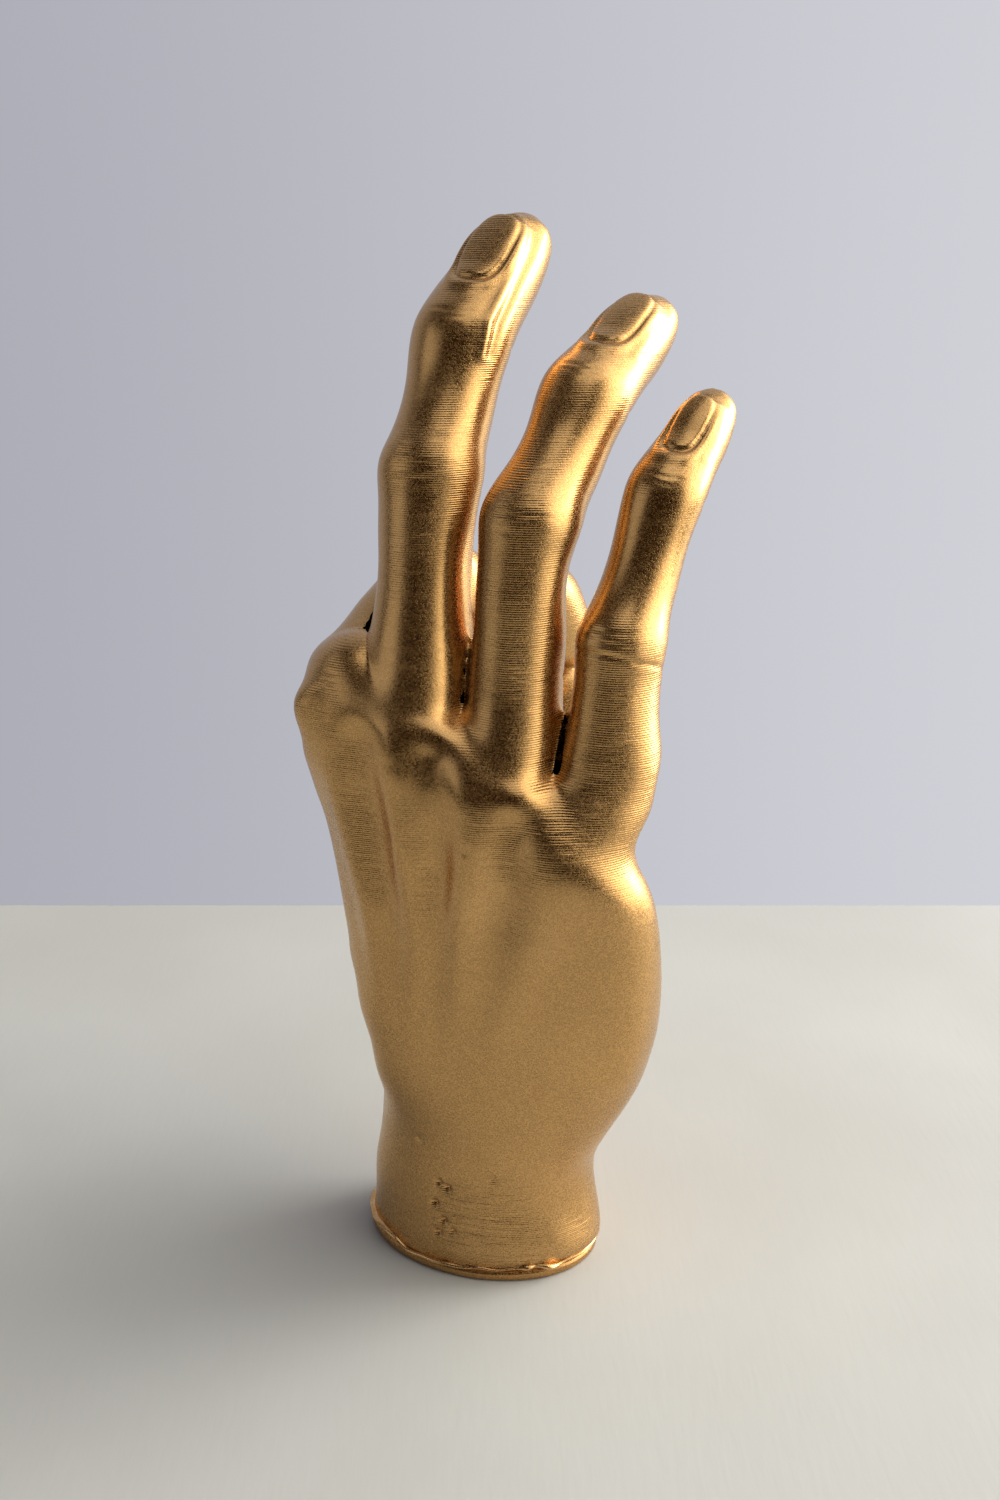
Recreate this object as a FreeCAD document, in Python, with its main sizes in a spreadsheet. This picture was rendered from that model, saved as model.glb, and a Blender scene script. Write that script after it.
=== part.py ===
import FreeCAD, Part
import Sketcher
import math
import os

# Hand sculpture on a thin oval foot: three fingers raised, index finger and thumb tip to tip.
# Right hand, seen from its back along +Y. +X is the little-finger side, -X the thumb side,
# +Y the palm side and +Z up. The origin is the centre of the foot plate's underside.
# Lengths are millimetres and angles degrees.

# Driving sizes
SIZES = {
    "wrist_width": 51.8,
    "wrist_depth": 36.6,
    "palm_height": 120.0,
    "palm_depth": 28.0,
    "index_width": 18.8,
    "middle_width": 20.0,
    "ring_width": 19.4,
    "little_width": 17.6,
    "thumb_width": 21.0,
    "index_proximal": 42.0,
    "index_medial": 27.0,
    "index_distal": 22.0,
    "middle_proximal": 48.0,
    "middle_medial": 29.0,
    "middle_distal": 30.5,
    "ring_proximal": 49.5,
    "ring_medial": 29.5,
    "ring_distal": 28.7,
    "little_proximal": 36.5,
    "little_medial": 30.5,
    "little_distal": 23.5,
    "thumb_bow": 15.0,
    "pinch_gap": 0.1,
    "nail_thickness": 1.6,
    "shell_wall": 4.5,
    "tenon_width": 9.0,
    "tenon_length": 8.0,
    "tenon_clearance": 0.15,
    "socket_spare": 0.5,
    "plate_thickness": 3.0,
    "plate_edge_radius": 1.0,
    "step_height": 2.0,
    "step_clearance": 0.6,
    "bead_rise": 1.8,
    "bead_bite": 0.8,
    "bead_proud": 0.5,
    "bead_clearance": 0.1,
    "plug_height": 30.0,
    "plug_clearance": 0.25,
    "cut_overrun": 1.0,
}

BONES = ("proximal", "medial", "distal")
FINGERS = ("index", "middle", "ring", "little")

# Lean towards the little finger and flex towards the palm of each bone, in degrees
BENDS = {
    "index": ((2, 67), (23, 100), (12, 142)),
    "middle": ((-5, 17), (0, 27), (8, 40)),
    "ring": ((-1, 14), (7, 37), (12, 51)),
    "little": ((1.5, 15), (6.5, 24), (12, 38)),
}

# Knuckle height as a share of palm_height, and set-back as a share of half palm_depth
KNUCKLE_SHARES = {
    "index": (1.008, -0.536),
    "middle": (1.0, -0.536),
    "ring": (0.9125, -0.536),
    "little": (0.842, -0.393),
}
MIDDLE_KNUCKLE_SHARE = -0.262
KNUCKLE_PITCH_SHARES = {"index": 0.84, "ring": 0.97, "little": 0.95}

# Rings of a finger: bone, place along it, half width, back depth and pad depth,
# the last three as shares of half the finger's width. The root rings run from inside
# the palm to the plane where the finger piece is seated.
ROOT_RING_SHARES = (
    (0, -0.35, 0.78, 0.6, 0.9),
    (0, 0.08, 1.05, 1.12, 1.2),
    (0, 0.30, 1.0, 1.0, 1.08),
)
BENT_ROOT_RING_SHARES = (
    (0, -0.24, 0.36, 0.3, 0.6),
    (0, -0.18, 0.68, 0.6, 0.9),
    (0, -0.06, 0.89, 0.86, 1.1),
    (0, 0.1, 0.95, 0.96, 1.12),
    (0, 0.38, 0.98, 0.93, 1.04),
)
RING_PITCH_SHARE = 0.28
FINGER_RING_SHARES = (
    (0, 0.60, 0.98, 0.9, 0.98),
    (0, 0.85, 1.0, 0.9, 0.94),
    (1, 0.05, 1.05, 0.96, 0.92),
    (1, 0.30, 0.99, 0.86, 0.94),
    (1, 0.60, 0.98, 0.82, 0.92),
    (1, 0.90, 1.03, 0.86, 0.9),
    (2, 0.15, 1.02, 0.76, 0.94),
    (2, 0.45, 0.94, 0.62, 0.96),
    (2, 0.74, 0.84, 0.5, 0.86),
)
TIP_WIDTH_SHARES = {"index": 0.95, "middle": 1.0, "ring": 0.9, "little": 0.75}
DOME_ANGLES = (25, 45, 62, 76)

# Rings of the thumb: bone, place along it, half width, back depth and pad depth as shares
THUMB_ROOT_RING_SHARES = (
    (0, -0.15, 1.0, 0.85, 1.28),
    (0, 0.3, 1.22, 1.13, 1.44),
    (0, 0.72, 1.13, 1.05, 1.08),
)
THUMB_RING_SHARES = (
    (0, 0.95, 1.1, 1.02, 1.02),
    (1, 0.30, 0.98, 0.9, 0.94),
    (1, 0.65, 0.96, 0.86, 0.92),
    (1, 0.95, 1.06, 0.9, 0.92),
    (2, 0.25, 1.04, 0.78, 0.98),
    (2, 0.55, 1.02, 0.66, 1.0),
    (2, 0.78, 0.94, 0.56, 0.92),
)
THUMB_START_SHARES = (-0.412, 0.75, 0.35)
THUMB_JOINT_SHARES = ((0.437, 1.0), (0.812, 0.667))
THUMB_BACK = FreeCAD.Vector(0, 0.75, -0.66)

# Nail plate: place along the last bone, half width, half length and lift, as shares
NAIL_SHARES = (0.58, 0.72, 0.33, 0.25)

# Rings of wrist and palm: height share, blend from wrist to knuckles, centre across and back,
# half width, back depth and palm depth as shares, tilt, twist and squareness
PALM_RING_SHARES = (
    (0.117, 0.0, 0.018, -0.036, 0.972, 0.96, 0.96, 0, 7, 2.0),
    (0.217, 0.0, 0.052, -0.071, 0.935, 0.905, 0.96, 0, 5, 2.05),
    (0.283, 0.15, 0.106, -0.107, 0.92, 0.91, 1.08, 2, 3, 2.1),
    (0.400, 0.4, 0.155, -0.179, 0.973, 0.945, 1.22, 4, 2, 2.2),
    (0.517, 0.65, 0.142, -0.286, 0.993, 0.974, 1.3, 7, 0, 2.25),
    (0.650, 0.85, 0.131, -0.393, 0.977, 0.993, 1.164, 10, 0, 2.3),
    (0.767, 1.0, 0.090, -0.5, 0.969, 1.0, 1.0, 14, 0, 2.3),
)
KNUCKLE_RING_SHARES = (
    (0.867, 1.0, 0.041, -0.571, 1.008, 0.97, 0.93, 19, 0, 2.3),
    (0.935, 1.0, 0.028, -0.607, 0.96, 0.88, 0.86, 23, 0, 2.3),
    (0.98, 1.0, 0.04, -0.6, 0.84, 0.74, 0.74, 26, 0, 2.2),
    (1.01, 1.0, 0.05, -0.52, 0.7, 0.5, 0.54, 27, 0, 2.1),
)
HOLLOW_TOP_SHARE = (0.825, 1.0, 0.070, -0.5, 0.75, 0.7, 0.7, 15, 0, 2.2)
FOOT_TWIST = 8
BEAD_ROUND_SHARE = 0.9
RING_POINTS = 16
LOFT_DEGREE = 3
EDGE_TOLERANCE = 1e-4

doc = FreeCAD.newDocument("hand_sculpture")
sheet = doc.addObject("Spreadsheet::Sheet", "sizes")
for row, (alias, value) in enumerate(SIZES.items(), start=1):
    sheet.set("A%d" % row, alias)
    sheet.set("B%d" % row, str(value))
    sheet.setAlias("B%d" % row, alias)
doc.recompute()


def size(alias):
    """Value of one driving size, read from the sheet."""
    return float(getattr(sheet, alias))


def heading(lean, flex):
    """Unit direction of a bone that leans sideways and flexes towards the palm."""
    lean = math.radians(lean)
    flex = math.radians(flex)
    across = math.sin(lean)
    forward = math.cos(lean) * math.sin(flex)
    up = math.cos(lean) * math.cos(flex)
    return FreeCAD.Vector(across, forward, up)


def sideways(direction, back=None):
    """Unit vector across a bone, towards the little finger, square to the direction."""
    if back is not None:
        return direction.cross(back).normalize()
    across = FreeCAD.Vector(1, 0, 0)
    return (across - direction * across.dot(direction)).normalize()


def oval(centre, across, back, half_width, back_depth, front_depth, squareness=2.0):
    """Closed smooth ring with its own depth on the back and on the palm side."""
    points = []
    for count in range(RING_POINTS):
        angle = 2 * math.pi * count / RING_POINTS
        run = math.copysign(abs(math.cos(angle)) ** (2 / squareness), math.cos(angle))
        rise = math.copysign(abs(math.sin(angle)) ** (2 / squareness), math.sin(angle))
        depth = back_depth if rise > 0 else front_depth
        points.append(centre + across * (run * half_width) + back * (rise * depth))
    curve = Part.BSplineCurve()
    curve.interpolate(Points=points, PeriodicFlag=True)
    return Part.Wire([curve.toShape()])


def loft(wires):
    """Smooth solid through a row of rings."""
    return Part.makeLoft(wires, True, False, False, LOFT_DEGREE)


def half_breadth():
    """Half the breadth across the four knuckles."""
    return sum(size(name + "_width") for name in FINGERS) / 2


def knuckle(name):
    """Centre of a finger's knuckle, spaced from the middle finger by the finger widths."""
    height_share, setback_share = KNUCKLE_SHARES[name]
    place = MIDDLE_KNUCKLE_SHARE * half_breadth()
    middle = FINGERS.index("middle")
    reach = FINGERS.index(name) - middle
    side = 1 if reach > 0 else -1
    for step in range(0, reach, side):
        near, far = FINGERS[middle + step], FINGERS[middle + step + side]
        pitch = (size(near + "_width") + size(far + "_width")) / 2
        place += side * pitch * KNUCKLE_PITCH_SHARES[far]
    depth = setback_share * size("palm_depth") / 2
    return FreeCAD.Vector(place, depth, height_share * size("palm_height"))


def finger_joints(name):
    """Joint points of a finger from knuckle to tip."""
    joints = [knuckle(name)]
    for bone, (lean, flex) in zip(BONES, BENDS[name]):
        joints.append(joints[-1] + heading(lean, flex) * size(name + "_" + bone))
    return joints


def index_pad():
    """Centre of the rounded index tip and its radius."""
    joints = finger_joints("index")
    radius = size("index_width") / 2 * TIP_WIDTH_SHARES["index"] * FINGER_RING_SHARES[-1][4]
    return joints[3] - heading(*BENDS["index"][2]) * radius, radius


def thumb_joints():
    """Joint points of the thumb, which closes on the index tip."""
    across, depth, height = THUMB_START_SHARES
    root = FreeCAD.Vector(across * half_breadth(), depth * size("palm_depth") / 2, 0)
    root.z = height * size("palm_height")
    pad, radius = index_pad()
    tip_radius = size("thumb_width") / 2 * THUMB_RING_SHARES[-1][4]
    tip = pad - FreeCAD.Vector(0, 0, radius + tip_radius + size("pinch_gap"))
    joints = [root]
    for along, bow in THUMB_JOINT_SHARES:
        offset = FreeCAD.Vector(-bow * size("thumb_bow"), 0, 0)
        joints.append(root + (tip - root) * along + offset)
    joints.append(tip + (tip - joints[2]).normalize() * tip_radius)
    return joints


def centre_line(joints):
    """Smooth curve through the joints and the middle of each bone."""
    points = [joints[0]]
    for start, end in zip(joints, joints[1:]):
        points += [(start + end) / 2, end]
    curve = Part.BSplineCurve()
    curve.interpolate(Points=points)
    return curve


def place_on(joints, bone, share):
    """Point of the centre line at a share of a bone, and the direction there."""
    curve = centre_line(joints)
    start, end = joints[bone], joints[bone + 1]
    if bone == 0 and share <= 0:
        direction = curve.tangent(curve.FirstParameter)[0].normalize()
        return start + direction * (end - start).Length * share, direction
    spot = curve.parameter(start + (end - start) * share)
    return curve.value(spot), curve.tangent(spot)[0].normalize()


def run_to(joints, bone, share):
    """Length along the bones from the first joint to a share of a bone."""
    run = (joints[bone + 1] - joints[bone]).Length * share
    for start, end in zip(joints[:bone], joints[1:bone + 1]):
        run += (end - start).Length
    return run


def station_at(joints, table, run):
    """Station of a share table at a length along the bones, read between its rows."""
    bone = 0
    while bone < 2 and run > run_to(joints, bone, 1):
        bone += 1
    start = run_to(joints, bone, 0)
    share = (run - start) / (run_to(joints, bone, 1) - start)
    for near, far in zip(table, table[1:]):
        low, high = run_to(joints, near[0], near[1]), run_to(joints, far[0], far[1])
        weight = (run - low) / (high - low)
        if weight <= 1:
            break
    shares = [old + (new - old) * weight for old, new in zip(near[2:], far[2:])]
    return (bone, share, *shares)


def even_stations(joints, table, pitch):
    """Stations from the first to the last row of a table, evenly spaced along the bones."""
    low = run_to(joints, table[0][0], table[0][1])
    high = run_to(joints, table[-1][0], table[-1][1])
    count = max(2, round((high - low) / pitch))
    stations = [table[0]]
    for step in range(1, count):
        stations.append(station_at(joints, table, low + (high - low) * step / count))
    return stations + [table[-1]]


def ring_on(joints, station, half_width, back=None):
    """Ring of a finger or thumb at one station of its share table."""
    bone, share, width_share, back_share, front_share = station
    point, direction = place_on(joints, bone, share)
    across = sideways(direction, back)
    outward = across.cross(direction)
    return oval(point, across, outward, half_width * width_share,
                half_width * back_share, half_width * front_share)


def root_rings(name):
    """Root rings of a finger, with an arched set on the bent index finger."""
    return BENT_ROOT_RING_SHARES if name == "index" else ROOT_RING_SHARES


def taper(name, station):
    """Half width of a finger at a station, drawn in evenly towards the tip."""
    progress = (station[0] + station[1]) / len(BONES)
    return size(name + "_width") / 2 * (1 + (TIP_WIDTH_SHARES[name] - 1) * progress)


def dome_rings(joints, station, half_width, back=None):
    """Shrinking rings that round off a tip beyond its last station."""
    bone, share, width_share, back_share, front_share = station
    rings = []
    for angle in DOME_ANGLES:
        grow = math.sin(math.radians(angle))
        shrink = math.cos(math.radians(angle))
        ahead = share + (1 - share) * grow
        shares = (bone, ahead, width_share * shrink, back_share * shrink, front_share * shrink)
        rings.append(ring_on(joints, shares, half_width, back))
    return rings


def add_shape(name, shape):
    """Document object that holds a shape made by this script."""
    holder = doc.addObject("Part::Feature", name)
    holder.Shape = shape
    return holder


def add_chain(kind, name, parts):
    """Boolean of a first object with each of the others in turn, Part::Fuse or Part::Cut."""
    result = parts[0]
    for count, tool in enumerate(parts[1:], start=1):
        step = doc.addObject(kind, "%s_%s" % (name, tool.Name) if count < len(parts) - 1 else name)
        step.Base = result
        step.Tool = tool
        step.Refine = False
        result = step
    return result


def add_peg(name, joints, station, radius_rule, length_rule):
    """Round peg that runs back from a root plane into the palm, sizes bound to the sheet."""
    point, direction = place_on(joints, station[0], station[1])
    peg = doc.addObject("Part::Cylinder", name)
    peg.setExpression("Radius", radius_rule)
    peg.setExpression("Height", length_rule + " + sizes.cut_overrun")
    turn = FreeCAD.Rotation(FreeCAD.Vector(0, 0, 1), direction * -1)
    start = point + direction * size("cut_overrun")
    peg.Placement = FreeCAD.Placement(start, turn)
    return peg


def add_block(name, point, direction, reach_rule, reach):
    """Block that fills everything beyond a plane, out to a reach bound to the sheet."""
    block = doc.addObject("Part::Box", name)
    block.setExpression("Length", "2 * (%s)" % reach_rule)
    block.setExpression("Width", "2 * (%s)" % reach_rule)
    block.setExpression("Height", reach_rule)
    turn = FreeCAD.Rotation(FreeCAD.Vector(0, 0, 1), direction)
    corner = turn.multVec(FreeCAD.Vector(-reach, -reach, 0))
    block.Placement = FreeCAD.Placement(point + corner, turn)
    return block


def add_nail(name, joints, ring_shares, half_width, back=None):
    """Low oval nail plate on the back of the last bone."""
    along, width_share, length_share, lift_share = NAIL_SHARES
    bone_length = (joints[3] - joints[2]).Length
    point, direction = place_on(joints, 2, along)
    across = sideways(direction, back)
    outward = across.cross(direction)
    thickness = size("nail_thickness")
    depth = half_width * ring_shares[-2][3] - thickness * (1 - lift_share)
    nail = doc.addObject("Part::Ellipsoid", name)
    nail.Radius1 = thickness
    nail.Radius2 = bone_length * length_share
    nail.Radius3 = half_width * width_share
    turn = FreeCAD.Rotation(direction, across, outward, "ZXY")
    nail.Placement = FreeCAD.Placement(point + outward * depth, turn)
    return nail


def split_digit(name, mass, joints, root, reach_rule, reach):
    """Root left on the palm and loose part of a digit, parted at its root plane."""
    point, direction = place_on(joints, root[0], root[1])
    block = add_block(name + "_reach", point, direction, reach_rule, reach)
    stub = add_chain("Part::Cut", name + "_root", [mass, block])
    flesh = doc.addObject("Part::Common", name + "_flesh")
    flesh.Base = mass
    flesh.Tool = block
    return stub, flesh


def make_finger_mass(name):
    """Whole finger from inside the palm to its tip, split into its root and its loose part."""
    joints = finger_joints(name)
    pitch = size(name + "_width") * RING_PITCH_SHARE
    roots = root_rings(name)
    last = FINGER_RING_SHARES[-1]
    rings = []
    for station in even_stations(joints, roots + FINGER_RING_SHARES, pitch):
        rings.append(ring_on(joints, station, taper(name, station)))
    rings += dome_rings(joints, last, taper(name, last))
    mass = add_shape(name + "_mass", loft(rings))
    rule = " + ".join("sizes.%s_%s" % (name, bone) for bone in BONES)
    reach = sum(size(name + "_" + bone) for bone in BONES)
    return split_digit(name, mass, joints, roots[-1], rule, reach)


def make_finger(name, flesh, neighbours):
    """Loose finger with its nail and tenon, trimmed where it passes the next finger's root."""
    joints = finger_joints(name)
    nail = add_nail(name + "_nail", joints, FINGER_RING_SHARES,
                    taper(name, FINGER_RING_SHARES[-1]))
    body = add_chain("Part::Fuse", name + "_body", [flesh, nail])
    cuts = list(neighbours)
    if name == "index":
        cuts.append(add_contact_block(name, -1))
    trimmed = add_chain("Part::Cut", name + "_trimmed", [body] + cuts)
    peg = add_peg(name + "_tenon", joints, root_rings(name)[-1], "sizes.tenon_width / 2",
                  "sizes.tenon_length")
    return add_chain("Part::Fuse", name + "_finger", [trimmed, peg])


def add_contact_block(name, side):
    """Block that flattens a tip at the plane where the thumb and index finger meet."""
    pad, radius = index_pad()
    level = pad.z - radius - size("pinch_gap") / 2
    point = FreeCAD.Vector(pad.x, pad.y, level - side * size("pinch_gap") / 2)
    return add_block(name + "_contact", point, FreeCAD.Vector(0, 0, side),
                     "sizes.thumb_width", size("thumb_width"))


def make_thumb_mass():
    """Whole thumb from inside the palm to its tip, split into its root and its loose part."""
    joints = thumb_joints()
    half = size("thumb_width") / 2
    pitch = size("thumb_width") * RING_PITCH_SHARE
    rings = []
    for station in even_stations(joints, THUMB_ROOT_RING_SHARES + THUMB_RING_SHARES, pitch):
        rings.append(ring_on(joints, station, half, THUMB_BACK))
    rings += dome_rings(joints, THUMB_RING_SHARES[-1], half, THUMB_BACK)
    mass = add_shape("thumb_mass", loft(rings))
    return split_digit("thumb", mass, joints, THUMB_ROOT_RING_SHARES[-1],
                       "sizes.palm_height", size("palm_height"))


def make_thumb(flesh):
    """Loose thumb with its nail, its flat under the index tip and its tenon."""
    joints = thumb_joints()
    nail = add_nail("thumb_nail", joints, THUMB_RING_SHARES, size("thumb_width") / 2, THUMB_BACK)
    body = add_chain("Part::Fuse", "thumb_body", [flesh, nail])
    trimmed = add_chain("Part::Cut", "thumb_trimmed", [body, add_contact_block("thumb", 1)])
    peg = add_peg("thumb_tenon", joints, THUMB_ROOT_RING_SHARES[-1], "sizes.tenon_width / 2",
                  "sizes.tenon_length")
    return add_chain("Part::Fuse", "thumb", [trimmed, peg])


def palm_ring(shares, grow):
    """Ring of the wrist or palm, grown or shrunk all round by a length."""
    height, blend, across_share, back_share, width, back, front, tilt, twist, squareness = shares
    wrist_half = size("wrist_width") / 2
    half_width = (wrist_half + (half_breadth() - wrist_half) * blend) * width
    wrist_depth = size("wrist_depth") / 2
    half_depth = wrist_depth + (size("palm_depth") / 2 - wrist_depth) * blend
    centre = FreeCAD.Vector(across_share * half_breadth(), back_share * size("palm_depth") / 2, 0)
    centre.z = height * size("palm_height")
    turn = FreeCAD.Rotation(FreeCAD.Vector(0, 0, 1), twist)
    turn = turn.multiply(FreeCAD.Rotation(FreeCAD.Vector(0, 1, 0), tilt))
    across = turn.multVec(FreeCAD.Vector(1, 0, 0))
    outward = turn.multVec(FreeCAD.Vector(0, -1, 0))
    return oval(centre, across, outward, half_width + grow,
                half_depth * back + grow, half_depth * front + grow, squareness)


def foot_ring(level, grow):
    """Level oval of the foot, at a height above the ground."""
    share = level / size("palm_height")
    return palm_ring((share, 0, 0, 0, 1, 1, 1, 0, FOOT_TWIST, 2.0), grow)


def make_palm(roots):
    """Hollow wrist and palm with the roots of all five digits and their sockets."""
    bottom = size("plate_thickness")
    wall = size("shell_wall")
    below = bottom - size("cut_overrun")
    rings = [foot_ring(below, 0)]
    rings += [palm_ring(shares, 0) for shares in PALM_RING_SHARES + KNUCKLE_RING_SHARES]
    solids = [add_shape("palm_core", loft(rings))] + roots
    floor = add_block("palm_floor", FreeCAD.Vector(0, 0, bottom), FreeCAD.Vector(0, 0, -1),
                      "sizes.palm_height", size("palm_height"))
    hollow_rings = [foot_ring(below, -wall)]
    hollow_rings += [palm_ring(shares, -wall) for shares in PALM_RING_SHARES]
    hollow_rings.append(palm_ring(HOLLOW_TOP_SHARE, -wall))
    voids = [floor, add_shape("palm_hollow", loft(hollow_rings))]
    seats = [(name, finger_joints(name), root_rings(name)[-1]) for name in FINGERS]
    seats.append(("thumb", thumb_joints(), THUMB_ROOT_RING_SHARES[-1]))
    for name, joints, root in seats:
        voids.append(add_peg(name + "_socket", joints, root,
                             "sizes.tenon_width / 2 + sizes.tenon_clearance",
                             "sizes.tenon_length + sizes.socket_spare"))
    voids.append(add_shape("palm_rebate", seam_band(below, bottom + size("bead_rise") / 2)))
    mass = add_chain("Part::Fuse", "palm_mass", solids)
    return add_chain("Part::Cut", "palm_shell", [mass] + voids)


def seam_band(low, high):
    """Band cut out of the outer edge at the seam, between two levels."""
    rise = FreeCAD.Vector(0, 0, high - low)
    outer = Part.Face(foot_ring(low, size("shell_wall"))).extrude(rise)
    bite = size("bead_bite") + size("bead_clearance")
    inner = Part.Face(foot_ring(low, -bite)).extrude(rise)
    return outer.cut(inner)


def oval_sketch(body, name, rings, level_rule=None):
    """Sketch of one or two concentric ovals whose axes are bound to the sheet."""
    sketch = body.newObject("Sketcher::SketchObject", name)
    plane = [item for item in body.Origin.OriginFeatures if item.Role == "XY_Plane"][0]
    sketch.AttachmentSupport = (plane, [""])
    sketch.MapMode = "FlatFace"
    if level_rule:
        sketch.setExpression("AttachmentOffset.Base.z", level_rule)
    for width_rule, depth_rule in rings:
        start = size("wrist_width") / 2
        side = size("wrist_depth") / 2
        shape = Part.Ellipse(FreeCAD.Vector(start, 0, 0), FreeCAD.Vector(0, side, 0),
                             FreeCAD.Vector(0, 0, 0))
        ellipse = sketch.addGeometry(shape)
        sketch.exposeInternalGeometry(ellipse)
        sketch.addConstraint(Sketcher.Constraint("Coincident", ellipse, 3, -1, 1))
        sketch.addConstraint(Sketcher.Constraint("Horizontal", ellipse + 1))
        width = sketch.addConstraint(Sketcher.Constraint("Distance", ellipse + 1, 2 * start))
        sketch.setExpression("Constraints[%d]" % width, width_rule)
        depth = sketch.addConstraint(Sketcher.Constraint("Distance", ellipse + 2, 2 * side))
        sketch.setExpression("Constraints[%d]" % depth, depth_rule)
    return sketch


def oval_rules(grow_rule):
    """Width and depth of the foot oval, grown all round by a length of the sheet."""
    return ("sizes.wrist_width + 2 * (%s)" % grow_rule, "sizes.wrist_depth + 2 * (%s)" % grow_rule)


def add_pad(body, name, sketch, length_rule):
    """Pad of a sketch whose length is bound to the sheet."""
    pad = body.newObject("PartDesign::Pad", name)
    pad.Profile = sketch
    pad.setExpression("Length", length_rule)
    sketch.Visibility = False
    return pad


def turn_body(body):
    """Turn a foot piece to the slight twist of the wrist."""
    turn = FreeCAD.Rotation(FreeCAD.Vector(0, 0, 1), FOOT_TWIST)
    body.Placement = FreeCAD.Placement(FreeCAD.Vector(0, 0, 0), turn)


def level_edges(shape, level):
    """Names of the edges of a shape that lie flat at one height."""
    found = []
    for count, edge in enumerate(shape.Edges, start=1):
        box = edge.BoundBox
        if abs(box.ZMin - level) < EDGE_TOLERANCE and abs(box.ZMax - level) < EDGE_TOLERANCE:
            found.append("Edge%d" % count)
    return found


def make_plate():
    """Foot plate with its locating step, seam rebate and rounded edge."""
    body = doc.addObject("PartDesign::Body", "foot_plate")
    rim = "sizes.plate_thickness - sizes.bead_rise / 2"
    outline = oval_sketch(body, "plate_outline", [oval_rules("0")])
    slab = add_pad(body, "plate_slab", outline, rim)
    doc.recompute()
    edge = body.newObject("PartDesign::Fillet", "plate_edge")
    edge.Base = (slab, level_edges(slab.Shape, 0))
    edge.setExpression("Radius", "sizes.plate_edge_radius")
    doc.recompute()
    seat = oval_sketch(body, "plate_seat", [oval_rules("-sizes.bead_bite")], rim)
    add_pad(body, "plate_seat_pad", seat, "sizes.bead_rise / 2")
    inset = oval_rules("-sizes.shell_wall - sizes.step_clearance")
    step = oval_sketch(body, "plate_step", [inset], "sizes.plate_thickness")
    add_pad(body, "plate_step_pad", step, "sizes.step_height")
    turn_body(body)
    return body


def make_bead():
    """Bead of adhesive squeezed out round the seam between foot plate and wrist."""
    body = doc.addObject("PartDesign::Body", "seam_bead")
    rings = [oval_rules("sizes.bead_proud"), oval_rules("-sizes.bead_bite")]
    band = oval_sketch(body, "bead_outline", rings,
                       "sizes.plate_thickness - sizes.bead_rise / 2")
    pad = add_pad(body, "bead_band", band, "sizes.bead_rise")
    doc.recompute()
    outer = []
    low = size("plate_thickness") - size("bead_rise") / 2
    for level in (low, low + size("bead_rise")):
        names = level_edges(pad.Shape, level)
        outer.append(max(names, key=lambda name: pad.Shape.getElement(name).Length))
    edge = body.newObject("PartDesign::Fillet", "bead_edge")
    edge.Base = (pad, outer)
    edge.setExpression("Radius", "sizes.bead_proud * %s" % BEAD_ROUND_SHARE)
    turn_body(body)
    return body


def make_plug():
    """Plaster ballast cast in the wrist, resting on the foot plate's step."""
    bottom = size("plate_thickness")
    inset = -size("shell_wall") - size("plug_clearance")
    rings = [foot_ring(bottom, inset)]
    rings += [palm_ring(shares, inset) for shares in PALM_RING_SHARES]
    core = add_shape("plug_core", loft(rings))
    block = doc.addObject("Part::Box", "plug_block")
    block.setExpression("Length", "sizes.wrist_width * 2")
    block.setExpression("Width", "sizes.wrist_depth * 2")
    block.setExpression("Height", "sizes.plug_height - sizes.plate_thickness - sizes.step_height")
    block.setExpression("Placement.Base.x", "-sizes.wrist_width")
    block.setExpression("Placement.Base.y", "-sizes.wrist_depth")
    block.setExpression("Placement.Base.z", "sizes.plate_thickness + sizes.step_height")
    cast = doc.addObject("Part::Common", "ballast_plug")
    cast.Base = core
    cast.Tool = block
    return cast


def write_parts(pieces):
    """Check every object of the document, then write each piece under its label."""
    doc.recompute()
    for item in doc.Objects:
        if "Invalid" in item.State or "Error" in item.State:
            raise RuntimeError("%s did not build: %s" % (item.Name, item.State))
    os.makedirs("parts", exist_ok=True)
    for label, piece in pieces.items():
        piece.Label = label
        shape = piece.Shape
        if shape.isNull() or not shape.isValid():
            raise RuntimeError("%s has no valid shape" % label)
        shape.exportStep(os.path.join("parts", label + ".step"))
        box = shape.optimalBoundingBox(False)
        print("%-14s solids %d  volume %9.1f  x %6.1f %6.1f  y %6.1f %6.1f  z %6.1f %6.1f" % (
            label, len(shape.Solids), shape.Volume,
            box.XMin, box.XMax, box.YMin, box.YMax, box.ZMin, box.ZMax))


masses = {name: make_finger_mass(name) for name in FINGERS}
masses["thumb"] = make_thumb_mass()
pieces = {
    "foot_plate": make_plate(),
    "seam_bead": make_bead(),
    "ballast_plug": make_plug(),
    "palm_shell": make_palm([stub for stub, flesh in masses.values()]),
    "thumb": make_thumb(masses["thumb"][1]),
}
for finger in FINGERS:
    others = [masses[name][0] for name in FINGERS if name != finger]
    others.append(doc.getObject("palm_core"))
    pieces[finger + "_finger"] = make_finger(finger, masses[finger][1], others)
write_parts(pieces)
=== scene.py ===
import math

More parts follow.
